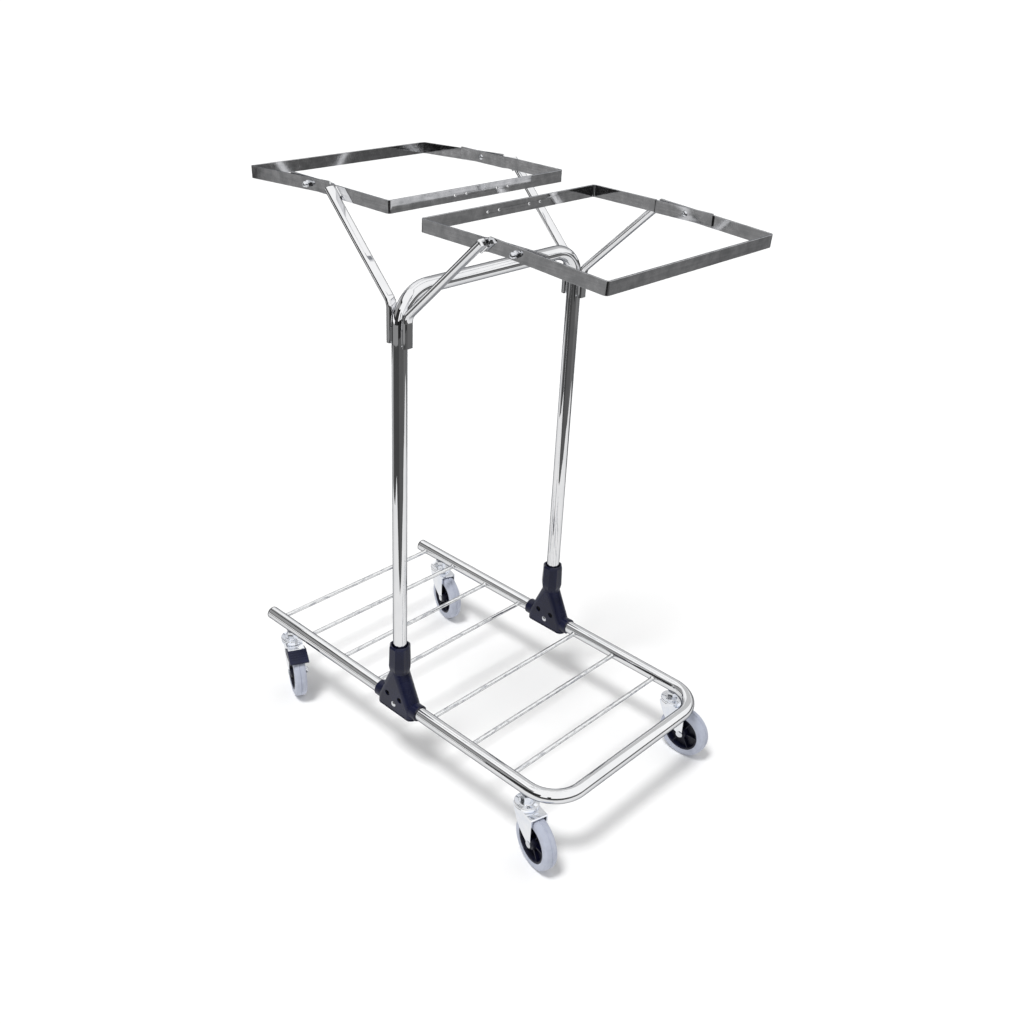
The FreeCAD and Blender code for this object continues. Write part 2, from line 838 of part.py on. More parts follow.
def fork():
    """Pressed housing: two legs, a flat crown with a dimple, and the drum of the swivel race."""
    outer_half = wheel_half + leg_gap + leg_thick
    inner_half = wheel_half + leg_gap
    face = Part.Face(leg_profile())
    face.translate(V(0, -outer_half, 0))
    solid = face.extrude(ACROSS * (2 * outer_half))
    low = crown_top - crown_thick
    drum = turned([
        (0, low), (drum_r, low), (drum_r, drum_top - drum_edge), (drum_r - drum_edge, drum_top),
        (0, drum_top),
    ], V(0, 0, 0), UP)
    skirt_foot = V(0, 0, crown_top - skirt_height)
    skirt = Part.makeCone(outer_half - skirt_inset, drum_r, skirt_height, skirt_foot, UP)
    solid = solid.fuse([drum, skirt])
    solid = solid.cut(block(V(-beyond, -inner_half, 0), V(beyond, inner_half, low)))
    solid = solid.cut(cylinder(stem_r + stem_fit, V(0, 0, low - over), V(0, 0, drum_top + over)))
    reach = ACROSS * (outer_half + over)
    solid = solid.cut(cylinder(axle_r + hub_bore_fit, axle_centre() - reach, axle_centre() + reach))
    return solid.cut(crown_dimple()).removeSplitter()


def crown_dimple():
    """Shallow slot with round ends, pressed across the crown."""
    half = dimple_length / 2
    end_r = dimple_width / 2
    floor = crown_top - dimple_depth
    top = crown_top + over
    slot = block(V(dimple_s - end_r, -half, floor), V(dimple_s + end_r, half, top))
    return slot.fuse([cylinder(end_r, V(dimple_s, y, floor), V(dimple_s, y, top)) for y in (-half, half)])


def swivel_race():
    """Upper race: a shallow dished cap with a raised ring, which stays with the base."""
    low = drum_top + swivel_gap
    bore = stem_r + hole_fit
    shoulder = race_dish_h - race_edge_h
    return turned([
        (bore, low), (race_r - race_step, low), (race_r, low + race_step), (race_r, low + race_edge_h),
        (race_r - shoulder, low + race_dish_h), (race_top_r, low + race_dish_h),
        (race_top_r, race_top - race_step), (race_top_r - race_step, race_top), (bore, race_top),
    ], V(0, 0, 0), UP)


def stem():
    """Threaded stem with its riveted lower head, up through the race into the tube."""
    top = crown_top - crown_thick - swivel_gap
    bottom = top - stem_head_height
    return turned([
        (0, bottom), (stem_head_r - stem_edge, bottom), (stem_head_r, bottom + stem_edge), (stem_head_r, top),
        (stem_r, top), (stem_r, stem_top - stem_edge), (stem_r - stem_edge, stem_top), (0, stem_top),
    ], V(0, 0, 0), UP)


def stem_nut():
    """Hexagon nut between the race and the underside of the tube, with chamfered corners."""
    top = base_z - tube_r
    body = hex_prism(stem_nut_flats, V(0, 0, race_top), V(0, 0, top))
    reach = stem_nut_flats / math.sqrt(3)
    round_off = turned([
        (0, race_top), (reach - nut_chamfer, race_top), (reach, race_top + nut_chamfer / 2),
        (reach, top - nut_chamfer / 2), (reach - nut_chamfer, top), (0, top),
    ], V(0, 0, 0), UP)
    bore = cylinder(stem_r + hole_fit, V(0, 0, race_top - over), V(0, 0, top + over))
    return body.common(round_off).cut(bore)


def tube_insert(x, y):
    """Threaded block inside the tube that the stem screws into, shaped to the tube's bore."""
    bottom = base_z - tube_r
    slug = cylinder(insert_r, V(x, y, bottom), V(x, y, insert_top))
    inside = round_bar(base_path(), tube_r - tube_wall - insert_fit)
    shank = cylinder(stem_r + thread_fit, V(x, y, bottom - over), V(x, y, insert_top + over))
    return slug.common(inside).cut(shank)


def axle():
    """Axle bolt with a low domed head on one leg."""
    face = wheel_half + leg_gap + leg_thick
    head = axle_centre() - ACROSS * face
    edge = head - ACROSS * axle_head_edge
    bolt = cylinder(axle_r, head, axle_centre() + ACROSS * (face + axle_nut_height + axle_thread_past))
    rim = cylinder(axle_head_r, edge, head)
    return bolt.fuse([rim, dome(axle_head_r, axle_head_height - axle_head_edge, edge, -ACROSS)])


def axle_nut():
    face = wheel_half + leg_gap + leg_thick
    seat = axle_centre() + ACROSS * face
    body = hex_prism(axle_nut_flats, seat, seat + ACROSS * axle_nut_height)
    return body.cut(cylinder(axle_r, seat - ACROSS * over, seat + ACROSS * (axle_nut_height + over)))


# Brake pedal


def pedal_cheek_plate(start, thick):
    """Side cheek of the pedal: an eye at the pivot, widening to the tread plate."""
    pivot = V(pedal_pivot_s, start, pedal_pivot_h)
    eye = cylinder(pedal_eye_r, pivot, pivot + ACROSS * thick)
    web = plate([
        V(pedal_pivot_s, start, pedal_pivot_h + pedal_eye_r),
        V(pedal_back_s, start, pedal_back_h),
        V(pedal_front_s, start, pedal_front_h),
        V(pedal_front_s - pedal_toe_back, start, pedal_front_h - pedal_cheek_depth),
        V(pedal_pivot_s, start, pedal_pivot_h - pedal_eye_r),
    ], ACROSS * thick)
    return eye.fuse(web)


def brake_pedal():
    """Wide tread plate with a rolled lip and cheeks that straddle the fork."""
    width = 2 * pedal_half
    back = V(pedal_back_s, -pedal_half, pedal_back_h)
    front = V(pedal_front_s, -pedal_half, pedal_front_h)
    run = front - back
    slope = V(run.x, 0, run.z).normalize()
    normal = V(-slope.z, 0, slope.x)
    tread = plate([back, front, front - normal * pedal_plate, back - normal * pedal_plate], ACROSS * width)
    lip_centre = front - normal * pedal_lip_r
    solid = tread.fuse(cylinder(pedal_lip_r, lip_centre, lip_centre + ACROSS * width))
    for k in range(pedal_ridges):
        spot = back + run * ((k + 1) / (pedal_ridges + 1)) + ACROSS * pedal_ridge_inset
        foot = spot - normal * pedal_ridge_root
        crest = spot + normal * pedal_ridge_height
        ridge = plate([
            foot - slope * pedal_ridge_half, foot + slope * pedal_ridge_half,
            crest + slope * pedal_ridge_top_half, crest - slope * pedal_ridge_top_half,
        ], ACROSS * (width - 2 * pedal_ridge_inset))
        solid = solid.fuse(ridge)
    for start in (-pedal_half, pedal_half - pedal_cheek):
        solid = solid.fuse(pedal_cheek_plate(start, pedal_cheek))
    pivot = V(pedal_pivot_s, 0, pedal_pivot_h)
    reach = ACROSS * (pedal_half + over)
    return solid.cut(cylinder(pedal_rivet_r + hub_bore_fit, pivot - reach, pivot + reach)).removeSplitter()


def pedal_rivets():
    """Short headed pins that hang the pedal on the fork legs."""
    pins = []
    leg_out = wheel_half + leg_gap + leg_thick
    for side in (-1, 1):
        out = ACROSS * side
        pivot = V(pedal_pivot_s, 0, pedal_pivot_h)
        seat = pivot + out * (pedal_half + pedal_play)
        pin = cylinder(pedal_rivet_r, pivot + out * leg_out, seat)
        pins.append(pin.fuse(dome(pedal_rivet_head_r, pedal_rivet_head, seat, out)))
    return Part.makeCompound(pins)


def save(name, shape):
    os.makedirs("parts", exist_ok=True)
    shape.exportStep("parts/" + name + ".step")


def build_base():
    save("base_tube", base_tube())
    save("end_cap_near", end_cap(-1))
    save("end_cap_far", end_cap(1))
    for number, x in enumerate(rung_places(), 1):
        save("rung_" + str(number), rung(x))
    inserts = [tube_insert(x, y) for name, x, y, yaw in castor_places()]
    save("tube_inserts", Part.makeCompound(inserts))


def build_mast():
    save("mast", mast())
    for name, side in (("near", -1), ("far", 1)):
        save("bracket_" + name + "_outer", bracket_half(side, side))
        save("bracket_" + name + "_inner", bracket_half(side, -side))
        save("arm_" + name + "_front", arm(side, "front"))
        save("arm_" + name + "_back", mirrored(arm(side, "back")))
    save("bracket_screws", bracket_screws())
    save("bracket_nuts", bracket_nuts())
    save("rail_rivets", rail_rivets())


def build_hoops():
    save("hoop_front_fixed", fixed_half("front"))
    save("hoop_back_fixed", mirrored(fixed_half("back")))
    save("hoop_front_hinged", hinged_half("front"))
    save("hoop_back_hinged", mirrored(hinged_half("back")))
    save("pivot_bolts", pivot_bolts())
    save("pivot_nuts", pivot_nuts())


def build_castors():
    nuts = []
    for name, x, y, yaw in castor_places():
        save("fork_" + name, placed(fork(), x, y, yaw))
        save("race_" + name, placed(swivel_race(), x, y, yaw))
        save("stem_" + name, placed(stem(), x, y, yaw))
        save("axle_" + name, placed(axle().fuse(axle_nut()), x, y, yaw))
        save("hub_" + name, placed(hub(), x, y, yaw))
        save("tyre_" + name, placed(tyre(), x, y, yaw))
        nuts.append(placed(stem_nut(), x, y, yaw))
    save("stem_nuts", Part.makeCompound(nuts))
    name, x, y, yaw = castor_places()[0]
    save("brake_pedal", placed(brake_pedal(), x, y, yaw))
    save("pedal_rivets", placed(pedal_rivets(), x, y, yaw))


build_base()
build_mast()
build_hoops()
build_castors()
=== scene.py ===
"""Bag holder trolley: a tube base on castors, an upright loop and two hinged bag hoops."""
import json
import math

import bmesh
import bpy
import numpy as np
from bpy.props import FloatProperty, FloatVectorProperty, PointerProperty
from mathutils import Matrix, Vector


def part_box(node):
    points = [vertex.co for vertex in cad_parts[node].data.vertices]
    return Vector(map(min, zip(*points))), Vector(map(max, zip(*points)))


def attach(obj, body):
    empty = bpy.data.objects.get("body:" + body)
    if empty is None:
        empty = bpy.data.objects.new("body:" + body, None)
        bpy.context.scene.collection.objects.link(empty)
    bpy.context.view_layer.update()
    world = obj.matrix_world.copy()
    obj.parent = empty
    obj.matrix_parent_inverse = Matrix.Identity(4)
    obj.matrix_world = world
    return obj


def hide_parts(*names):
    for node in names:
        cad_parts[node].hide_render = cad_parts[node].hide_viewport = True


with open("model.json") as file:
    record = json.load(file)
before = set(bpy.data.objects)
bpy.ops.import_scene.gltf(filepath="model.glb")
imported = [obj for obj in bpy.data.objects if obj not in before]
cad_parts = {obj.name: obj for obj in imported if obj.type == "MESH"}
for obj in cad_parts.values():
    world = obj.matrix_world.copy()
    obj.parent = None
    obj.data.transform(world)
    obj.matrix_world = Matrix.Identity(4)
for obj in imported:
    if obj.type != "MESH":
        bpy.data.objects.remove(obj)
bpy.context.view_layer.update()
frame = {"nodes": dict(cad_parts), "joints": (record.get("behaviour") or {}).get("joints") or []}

bl_info = {
    "name": "Bag holder trolley",
    "version": (1, 0, 0),
    "blender": (4, 5, 0),
    "location": "View3D > Sidebar > Trolley",
    "description": "Dresses the trolley's frame, brackets, hoops and castors",
    "category": "Add Mesh",
}

CASTORS = ("back_near", "back_far", "front_near", "front_far")
RUNGS = 7

# How finely the tubes, rungs and tyres are divided
BEND_STEP = math.radians(3)
LONGEST_STRETCH = 0.03
TUBE_POINTS = 48
RUNG_POINTS = 32
TYRE_STEPS = 96

# Points of a CAD mesh that lie closer together than this are one
MERGE_DISTANCE = 2e-6

# The rungs' welds
WELD_LENGTH = 0.0042
WELD_SWELL = 0.45
WELD_RIPPLE = 0.04

# The camera as fitted: its heading is turned from +Y, and its view leans down from the level
CAMERA_PLACE = (1.23859, -1.29319, 1.43193)
CAMERA_HEADING = math.radians(42.18)
CAMERA_DOWN = math.radians(28.44)
CAMERA_ROLL = math.radians(3.05)

# The studio floor reaches so far to each side
FLOOR_REACH = 80.0


def linear(code):
    """sRGB hex colour as linear values: below 0.04045 divided by 12.92, above it the 2.4 power curve."""
    values = [int(code[k:k + 2], 16) / 255 for k in (1, 3, 5)]
    return [v / 12.92 if v <= 0.04045 else ((v + 0.055) / 1.055) ** 2.4 for v in values] + [1.0]


def cells(size):
    """Noise cells per metre, for a pattern whose marks measure so many millimetres."""
    return 1000 / size


# Meshes from arrays


def unit(v):
    """The vector divided by its length."""
    return v / np.linalg.norm(v)


def circle(radius, count):
    """Points (r cos a, r sin a) at even turns a."""
    a = np.arange(count) * 2 * math.pi / count
    return np.stack([radius * np.cos(a), radius * np.sin(a)], axis=-1)


def grid_faces(rows, columns, close_rows=False, close_columns=True):
    """Quads of a grid: corner (i, j) joins (i, j+1), (i+1, j+1) and (i+1, j). A closed grid wraps round."""
    i = np.arange(rows if close_rows else rows - 1)
    j = np.arange(columns if close_columns else columns - 1)
    i, j = np.meshgrid(i, j, indexing="ij")
    up, over = (i + 1) % rows, (j + 1) % columns
    row, next_row = i * columns, up * columns
    return np.stack([row + j, row + over, next_row + over, next_row + j], axis=-1).reshape(-1, 4)


def rounded_route(corners, bend):
    """Points, directions and lengths run along straight lines joined by arcs of one radius.

    Each arc starts bend / tan(half the angle) before its corner. Its point at turn a is
    centre + start cos a - back bend sin a, where start leads from the centre to the arc's first point, and
    back is the direction that the line came from."""
    corners = [np.asarray(c, dtype=float) for c in corners]
    points, ways = [corners[:1]], [[unit(corners[1] - corners[0])]]
    for before, corner, after in zip(corners, corners[1:], corners[2:]):
        back, forth = unit(before - corner), unit(after - corner)
        half = math.acos(float(np.clip(back @ forth, -1, 1))) / 2
        centre = corner + unit(back + forth) * bend / math.sin(half)
        start = corner + back * bend / math.tan(half) - centre
        swing = math.pi - 2 * half
        a = np.linspace(0, swing, max(3, round(swing / BEND_STEP) + 1))[:, None]
        points.append(centre + start * np.cos(a) - back * bend * np.sin(a))
        ways.append(-start / bend * np.sin(a) - back * np.cos(a))
    points.append(corners[-1:])
    ways.append([unit(corners[-1] - corners[-2])])
    return divided(np.concatenate(points), np.concatenate(ways))


def divided(points, ways):
    """The route with its long stretches cut into even pieces, and the length run up to each of its points."""
    runs = np.concatenate([[0], np.cumsum(np.linalg.norm(np.diff(points, axis=0), axis=1))])
    counts = np.maximum(1, np.ceil(np.diff(runs) / LONGEST_STRETCH)).astype(int)
    cuts = [np.linspace(a, b, count + 1)[1:] for a, b, count in zip(runs, runs[1:], counts)]
    fine = np.concatenate([runs[:1], *cuts])
    points = np.stack([np.interp(fine, runs, column) for column in points.T], axis=-1)
    ways = np.stack([np.interp(fine, runs, column) for column in ways.T], axis=-1)
    return points, ways / np.linalg.norm(ways, axis=1, keepdims=True), fine


def revolved(profile, centre, axis):
    """Points of a profile of (radius r, height h) turned about an axis.

    They are centre + axis h + r (side cos a + other sin a), with side and other square to the axis."""
    axis = unit(np.asarray(axis, dtype=float))
    side = unit(np.cross(axis, [0.0, 0.0, 1.0] if abs(axis[2]) < 0.9 else [1.0, 0.0, 0.0]))
    turn = circle(1.0, TYRE_STEPS)
    other = np.cross(axis, side)
    ring = turn[:, :1] * side + turn[:, 1:] * other
    radius, height = profile.T[:, :, None, None]
    return (np.asarray(centre) + height * axis + radius * ring).reshape(-1, 3)


# Pieces from meshes


def placed(mesh, body, node):
    """Object of a mesh, at the origin, that rides on a body and stands for a CAD node."""
    obj = bpy.data.objects.new(mesh.name, mesh)
    bpy.context.scene.collection.objects.link(obj)
    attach(obj, body)
    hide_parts(node)
    return obj


def mesh_piece(node, points, faces, material, body, uv=None, sharp=None):
    """Smooth piece from arrays of points and faces. Edges above the sharp angle, in degrees, stay sharp."""
    mesh = bpy.data.meshes.new(node + "_surface")
    mesh.from_pydata(points.tolist(), [], faces.tolist())
    mesh.polygons.foreach_set("use_smooth", np.ones(len(mesh.polygons), dtype=bool))
    if uv is not None:
        layer = mesh.uv_layers.new(name="run")
        corners = np.zeros(len(mesh.loops), dtype=np.int32)
        mesh.loops.foreach_get("vertex_index", corners)
        layer.data.foreach_set("uv", np.asarray(uv, dtype=np.float32)[corners].ravel())
    mesh.materials.append(material)
    mesh.validate()
    if sharp is not None:
        mesh.set_sharp_from_angle(angle=math.radians(sharp))
    placed(mesh, body, node)


def swept_piece(node, route, side, section, material, swell=1.0):
    """Piece of the frame whose closed section is carried along a route in one plane.

    Point (i, j) is route i + swell i (x j side + y j lift i), where side is the plane's normal and lift the
    route's direction crossed with it. The piece's own map holds the length run and the way round."""
    points, ways, runs = route
    side = np.asarray(side, dtype=float)
    lift = np.cross(ways, side)
    x, y = section.T[:, None, :, None]
    swell = np.broadcast_to(swell, len(points))[:, None, None]
    grid = points[:, None] + swell * (x * side + y * lift[:, None])
    around = np.concatenate([[0], np.cumsum(np.linalg.norm(np.diff(section, axis=0), axis=1))])
    uv = np.stack(np.broadcast_arrays(runs[:, None], around), axis=-1)
    faces = grid_faces(*grid.shape[:2])
    mesh_piece(node, grid.reshape(-1, 3), faces, material, "frame", uv.reshape(-1, 2))


def smooth_copy(node, material, body, sharp, bevel=0.0):
    """Smooth copy of a CAD node with its doubled points merged.

    Edges above the sharp angle, in degrees, stay sharp or get a bevel of so many metres. The normals are
    weighted by the faces' areas, so that flat faces reflect as flat ones."""
    mesh = frame["nodes"][node].data.copy()
    mesh.name = node + "_surface"
    bm = bmesh.new()
    bm.from_mesh(mesh)
    bmesh.ops.remove_doubles(bm, verts=bm.verts, dist=MERGE_DISTANCE)
    bm.to_mesh(mesh)
    bm.free()
    mesh.polygons.foreach_set("use_smooth", np.ones(len(mesh.polygons), dtype=bool))
    mesh.set_sharp_from_angle(angle=math.radians(sharp))
    mesh.materials.clear()
    mesh.materials.append(material)
    obj = placed(mesh, body, node)
    if bevel:
        edge = obj.modifiers.new("edge", "BEVEL")
        edge.width = bevel
        edge.segments = 2
        edge.limit_method = "ANGLE"
        edge.angle_limit = math.radians(sharp)
        edge.harden_normals = True
    even = obj.modifiers.new("even", "WEIGHTED_NORMAL")
    even.keep_sharp = True


# Materials


def new_material(name):
    """A material with its node tree and its shader."""
    material = bpy.data.materials.new(name)
    material.use_nodes = True
    tree = material.node_tree
    return material, tree, tree.nodes["Principled BSDF"]


def add_node(tree, kind, settings=None, inputs=None, stops=()):
    """One shader node.

    Settings are its properties, inputs its sockets' values or the outputs linked to them, and stops the two
    (place, colour or grey level) pairs of a colour ramp."""
    made = tree.nodes.new(kind)
    for key, value in (settings or {}).items():
        setattr(made, key, value)
    for key, value in (inputs or {}).items():
        if isinstance(value, bpy.types.NodeSocket):
            tree.links.new(value, made.inputs[key])
        else:
            made.inputs[key].default_value = value
    for number, (place, value) in enumerate(stops):
        element = made.color_ramp.elements[number]
        element.position = place
        element.color = value if isinstance(value, list) else (value, value, value, 1.0)
    return made


def dress(tree, shader, colour, roughness, relief):
    """Colour and roughness from (pattern, stops), and bumps from (pattern, strength, depth in metres)."""
    for socket, (pattern, stops) in (("Base Color", colour), ("Roughness", roughness)):
        band = add_node(tree, "ShaderNodeValToRGB", inputs={"Fac": pattern}, stops=stops)
        tree.links.new(band.outputs["Color"], shader.inputs[socket])
    pattern, strength, depth = relief
    bump = add_node(tree, "ShaderNodeBump", inputs={
        "Height": pattern, "Strength": strength, "Distance": depth})
    tree.links.new(bump.outputs["Normal"], shader.inputs["Normal"])


def polished_chrome():
    """Bright chrome plate on drawn tube: mirror sharp and near white, darker where it turns away, with very
    faint draw lines and wiped smears about 55 mm across."""
    material, tree, shader = new_material("bright_chrome_plate_on_drawn_tube")
    shader.inputs["Metallic"].default_value = 1.0
    shader.inputs["Specular Tint"].default_value = linear("#4A4E58")
    where = add_node(tree, "ShaderNodeTexCoord")
    smear = add_node(tree, "ShaderNodeTexNoise", inputs={
        "Vector": where.outputs["Object"], "Scale": cells(55.56), "Detail": 3.0, "Roughness": 0.6})
    # Draw lines 250 mm long and about 1 mm apart round the tube, coarser than real ones so that they show
    run = add_node(tree, "ShaderNodeUVMap", {"uv_map": "run"})
    drawn = add_node(tree, "ShaderNodeVectorMath", {"operation": "MULTIPLY"}, {
        0: run.outputs["UV"], 1: (cells(250), cells(1.111), 1.0)})
    lines = add_node(tree, "ShaderNodeTexNoise", inputs={
        "Vector": drawn.outputs["Vector"], "Scale": 1.0, "Detail": 2.0})
    dress(tree, shader,
          colour=(smear.outputs["Fac"], [(0.3, linear("#EEEFF1")), (0.7, linear("#F7F7F8"))]),
          roughness=(smear.outputs["Fac"], [(0.35, 0.012), (0.75, 0.04)]),
          relief=(lines.outputs["Fac"], 0.05, 0.0002))
    return material


def drawn_rod():
    """Chrome plate on thin drawn rod: greyer and less even than the tube, with patches 4 mm wide and 17 mm
    long that break its highlight."""
    material, tree, shader = new_material("dull_chrome_plate_on_thin_rod")
    shader.inputs["Metallic"].default_value = 1.0
    shader.inputs["Specular Tint"].default_value = linear("#15171D")
    where = add_node(tree, "ShaderNodeTexCoord")
    run = add_node(tree, "ShaderNodeVectorMath", {"operation": "MULTIPLY"}, {
        0: where.outputs["Object"], 1: (cells(3.846), cells(16.67), cells(3.846))})
    patch = add_node(tree, "ShaderNodeTexNoise", inputs={
        "Vector": run.outputs["Vector"], "Scale": 1.0, "Detail": 3.0, "Roughness": 0.6})
    dress(tree, shader,
          colour=(patch.outputs["Fac"], [(0.34, linear("#BFC1C6")), (0.52, linear("#F1F2F3"))]),
          roughness=(patch.outputs["Fac"], [(0.35, 0.1), (0.7, 0.05)]),
          relief=(patch.outputs["Fac"], 0.03, 0.0003))
    return material


def plated_bar():
    """Chrome plate on rolled flat bar: a grey mirror with soft lighter patches and streaks along the bar."""
    material, tree, shader = new_material("chrome_plate_on_rolled_flat_bar")
    shader.inputs["Metallic"].default_value = 1.0
    shader.inputs["Specular Tint"].default_value = linear("#6A6E76")
    where = add_node(tree, "ShaderNodeTexCoord")
    # Streaks 3 mm high and 62 mm long over clouds of 18 mm
    run = add_node(tree, "ShaderNodeVectorMath", {"operation": "MULTIPLY"}, {
        0: where.outputs["Object"], 1: (cells(62.5), cells(62.5), cells(3.03))})
    streak = add_node(tree, "ShaderNodeTexNoise", inputs={
        "Vector": run.outputs["Vector"], "Scale": 1.0, "Detail": 2.0})
    cloud = add_node(tree, "ShaderNodeTexNoise", inputs={
        "Vector": where.outputs["Object"], "Scale": cells(18.18), "Detail": 3.0, "Roughness": 0.55})
    both = add_node(tree, "ShaderNodeMath", {"operation": "MULTIPLY_ADD"}, {
        0: streak.outputs["Fac"], 1: 0.45, 2: cloud.outputs["Fac"]})
    dress(tree, shader,
          colour=(both.outputs[0], [(0.5, linear("#C9CACC")), (0.92, linear("#EEEEF0"))]),
          roughness=(cloud.outputs["Fac"], [(0.3, 0.05), (0.75, 0.1)]),
          relief=(both.outputs[0], 0.03, 0.0004))
    return material


def bright_zinc(name, light, dark, rough_low, rough_high):
    """Zinc on pressed or turned steel, with soft press marks about 25 mm across."""
    material, tree, shader = new_material(name)
    shader.inputs["Metallic"].default_value = 1.0
    where = add_node(tree, "ShaderNodeTexCoord")
    cloud = add_node(tree, "ShaderNodeTexNoise", inputs={
        "Vector": where.outputs["Object"], "Scale": cells(25), "Detail": 2.0, "Roughness": 0.5})
    dress(tree, shader,
          colour=(cloud.outputs["Fac"], [(0.3, linear(dark)), (0.7, linear(light))]),
          roughness=(cloud.outputs["Fac"], [(0.3, rough_low), (0.75, rough_high)]),
          relief=(cloud.outputs["Fac"], 0.05, 0.0004))
    return material


def moulded(name, dark, light, rough_low, rough_high, grain, depth):
    """Near-even colour in clouds of 45 mm, with a grain of so many millimetres that breaks the highlights."""
    material, tree, shader = new_material(name)
    shader.inputs["Specular IOR Level"].default_value = 0.32
    where = add_node(tree, "ShaderNodeTexCoord")
    fine = add_node(tree, "ShaderNodeTexNoise", inputs={
        "Vector": where.outputs["Object"], "Scale": cells(grain), "Detail": 3.0, "Roughness": 0.7})
    broad = add_node(tree, "ShaderNodeTexNoise", inputs={
        "Vector": where.outputs["Object"], "Scale": cells(45.45), "Detail": 2.0})
    dress(tree, shader,
          colour=(broad.outputs["Fac"], [(0.3, linear(dark)), (0.72, linear(light))]),
          roughness=(broad.outputs["Fac"], [(0.3, rough_low), (0.7, rough_high)]),
          relief=(fine.outputs["Fac"], 0.3, depth))
    return material


def tyre_rubber():
    """Non-marking thermoplastic rubber: blue-grey with a soft sheen, and faint scuffs of 14 mm."""
    material, tree, shader = new_material("blue_grey_thermoplastic_rubber")
    shader.inputs["IOR"].default_value = 1.5
    where = add_node(tree, "ShaderNodeTexCoord")
    scuff = add_node(tree, "ShaderNodeTexNoise", inputs={
        "Vector": where.outputs["Object"], "Scale": cells(14.29), "Detail": 5.0, "Roughness": 0.65})
    dress(tree, shader,
          colour=(scuff.outputs["Fac"], [(0.3, linear("#A9AEBE")), (0.7, linear("#BABFCD"))]),
          roughness=(scuff.outputs["Fac"], [(0.3, 0.38), (0.7, 0.55)]),
          relief=(scuff.outputs["Fac"], 0.2, 0.0003))
    return material


# Each finish with its maker and what the maker needs to know
MAKERS = {
    "chrome": (polished_chrome,),
    "bar": (plated_bar,),
    "rod": (drawn_rod,),
    # Nearly white and slightly blue, with broad soft highlights
    "zinc": (bright_zinc, "bright_zinc_on_pressed_steel", "#FCFDFF", "#EEF2FA", 0.06, 0.13),
    # A little greyer and duller than the forks beside them
    "screws": (bright_zinc, "zinc_plated_fasteners", "#F0F2F6", "#D6D8DD", 0.08, 0.18),
    # Almost black and dull: painted recess shade, darkening the bracket screws and nuts all over so that the
    # recesses look deep
    "recess_shade_screws": (bright_zinc, "black_passivated_recessed_screws", "#26262B", "#131317", 0.3, 0.45),
    # Blue-black and glossy, with thin lights along the facets' edges
    "bracket": (moulded, "navy_black_glass_filled_nylon", "#0B0E24", "#141836", 0.2, 0.3, 1.111, 0.00015),
    # Black and waxy
    "cap": (moulded, "black_polyethylene_cap", "#0F1016", "#18191F", 0.35, 0.5, 1.429, 0.0002),
    # Blue-black and soft, so that the spokes are only just seen
    "hub": (moulded, "navy_black_polypropylene_hub", "#06071A", "#0D1026", 0.35, 0.5, 2.0, 0.0001),
    # Dark blue with the fine orange peel of a powder coat
    "pedal": (moulded, "dark_powder_coated_pedal", "#15182D", "#20243F", 0.28, 0.42, 1.25, 0.0002),
    "tyre": (tyre_rubber,),
}
FINISHES = {}


def finish(name):
    """The shared material of that name, made once."""
    if name not in FINISHES:
        maker, *values = MAKERS[name]
        FINISHES[name] = maker(*values)
    return FINISHES[name]


# Settings


class TrolleySizes(bpy.types.PropertyGroup):
    """Sizes of the tubes and rungs."""
    tube_radius: FloatProperty(name="Tube radius", description="Outer radius of the main tube",
                               default=0.0125, unit="LENGTH")
    rail_offset: FloatProperty(name="Rail offset", description="Distance of each rail from the middle",
                               default=0.206, unit="LENGTH")
    base_height: FloatProperty(name="Base height", description="Height of the base tube's centre",
                               default=0.1385, unit="LENGTH")
    base_front: FloatProperty(name="Base front", description="Centre of the base tube's closed end",
                              default=0.3845, unit="LENGTH")
    base_bend: FloatProperty(name="Base bend", description="Bend radius of the base tube's centre line",
                             default=0.062, unit="LENGTH")
    mast_height: FloatProperty(name="Mast height", description="Height of the crossbar's centre",
                               default=0.9135, unit="LENGTH")
    mast_bend: FloatProperty(name="Mast bend", description="Bend radius of the upright loop",
                             default=0.057, unit="LENGTH")
    rung_radius: FloatProperty(name="Rung radius", description="Radius of the cross rungs",
                               default=0.004, unit="LENGTH")


class TrolleyStudio(bpy.types.PropertyGroup):
    """Light, floor and lens."""
    floor_colour: FloatVectorProperty(name="Floor colour", description="Colour of the studio floor", size=3,
                                      default=(0.95, 0.95, 0.95), subtype="COLOR", min=0.0, max=1.0)
    sky_level: FloatProperty(name="Sky level", description="Strength of the even light from all round",
                             default=0.58, min=0.0)
    lamp_level: FloatProperty(name="Lamp level", description="Strength of the wide lamp above the near side",
                              default=1.85, min=0.0)
    lamp_width: FloatProperty(name="Lamp width", description="Angle that the lamp fills, for soft shadows",
                              default=math.radians(15), subtype="ANGLE", min=0.0)
    lamp_lean: FloatProperty(name="Lamp lean", description="Angle of the lamp from straight above",
                             default=math.radians(20.6), subtype="ANGLE")
    lens: FloatProperty(name="Lens", description="Focal length in millimetres on a 36 mm frame",
                        default=39.157, min=1.0)


# Pieces


